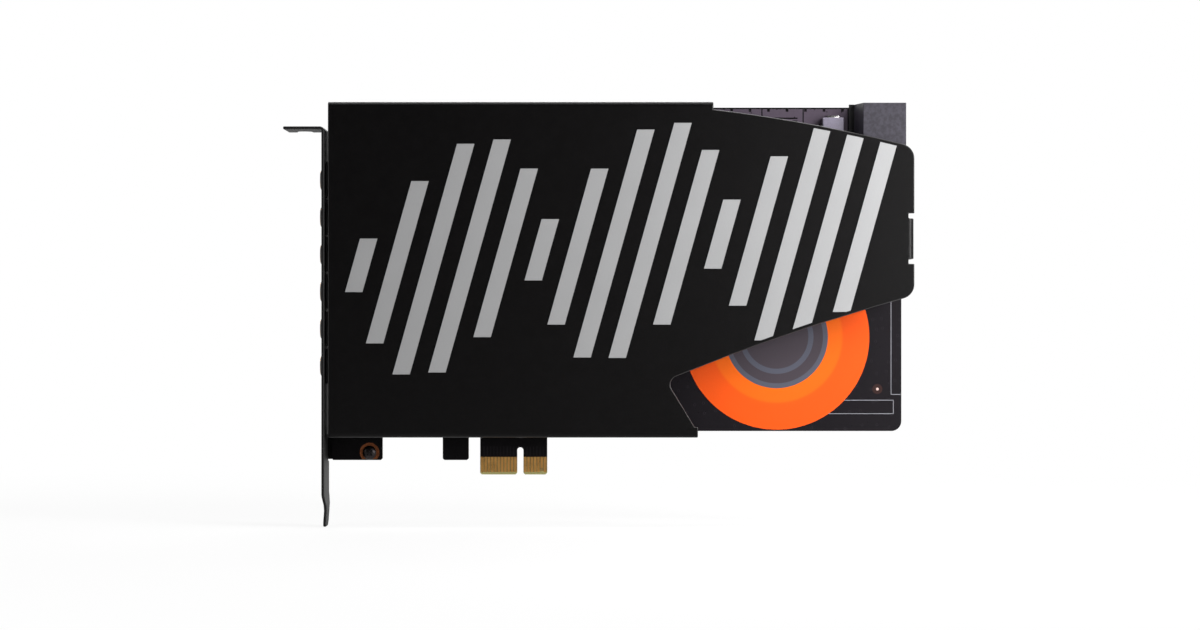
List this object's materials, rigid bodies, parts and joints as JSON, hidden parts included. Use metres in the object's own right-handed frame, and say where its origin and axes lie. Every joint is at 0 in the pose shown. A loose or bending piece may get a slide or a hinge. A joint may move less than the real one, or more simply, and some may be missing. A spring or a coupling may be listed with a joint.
{
  "type": "pci sound card",
  "caption": "Expansion-slot sound card with a black folded metal cover, silver bars and an orange round label, audio jacks through its steel bracket and a power socket at the far end.",
  "frame": {"origin": "the key notch at the foot of the slot edge, in the middle of the board's thickness", "axes": "+X along the card away from the bracket, -Y out of the component side, +Z out of the slot"},
  "size_m": [0.1887, 0.0184, 0.1275],
  "materials": {
    "solder_mask": "black solder mask over glass-fibre laminate",
    "contact_gold": "hard gold plate",
    "bracket_black": "black satin paint on steel",
    "screw_black": "blackened steel",
    "ferrule_gold": "gold plate",
    "cover_powder": "fine black powder coat",
    "print_silver": "silver ink",
    "label_film": "printed film, orange on dark grey",
    "socket_plastic": "moulded, black",
    "pin_tin": "tin plate",
    "header_plastic": "moulded, black",
    "pin_gold": "gold flash",
    "relay_case": "moulded, black",
    "film_case": "moulded box, dark red",
    "can_sleeve": "shrunk sleeve on a metal can",
    "crystal_can": "nickel-plated lid",
    "choke_case": "pressed powder iron",
    "ceramic_body": "fired ceramic",
    "chip_epoxy": "moulded epoxy",
    "jack_plastic": "moulded, black",
    "leaf_tin": "tin plate",
    "silkscreen_white": "printed legend ink",
    "copper_pad": "bare copper",
    "solder": "solder"
  },
  "bodies": {
    "root": {"audio_controller": "chip_epoxy", "bracket": "bracket_black", "bracket_screw": "screw_black", "bus_bridge": "chip_epoxy", "centre_bass_jack_housing": "jack_plastic", "centre_bass_jack_leaves": "leaf_tin", "ceramic_capacitors": "ceramic_body", "chokes": "choke_case", "circuit_board": "solder_mask", "clock_crystals": "crystal_can", "cover": "cover_powder", "cover_print": "print_silver", "cover_screw": "screw_black", "edge_contacts": "contact_gold", "electrolytic_capacitors": "can_sleeve", "film_capacitors": "film_case", "front_panel_header": "header_plastic", "front_panel_pins": "pin_gold", "front_speaker_jack_housing": "jack_plastic", "front_speaker_jack_leaves": "leaf_tin", "headphone_amplifier": "chip_epoxy", "headphone_jack_housing": "jack_plastic", "headphone_jack_leaves": "leaf_tin", "jack_ferrules": "ferrule_gold", "memory_chip": "chip_epoxy", "microphone_jack_housing": "jack_plastic", "microphone_jack_leaves": "leaf_tin", "output_amplifiers": "chip_epoxy", "playback_converter": "chip_epoxy", "power_socket_housing": "socket_plastic", "power_socket_pins": "pin_tin", "rear_speaker_jack_housing": "jack_plastic", "rear_speaker_jack_leaves": "leaf_tin", "recording_converter": "chip_epoxy", "relays": "relay_case", "round_label": "label_film", "side_speaker_jack_housing": "jack_plastic", "side_speaker_jack_leaves": "leaf_tin", "voltage_regulators": "chip_epoxy"}
  },
  "joints": []
}
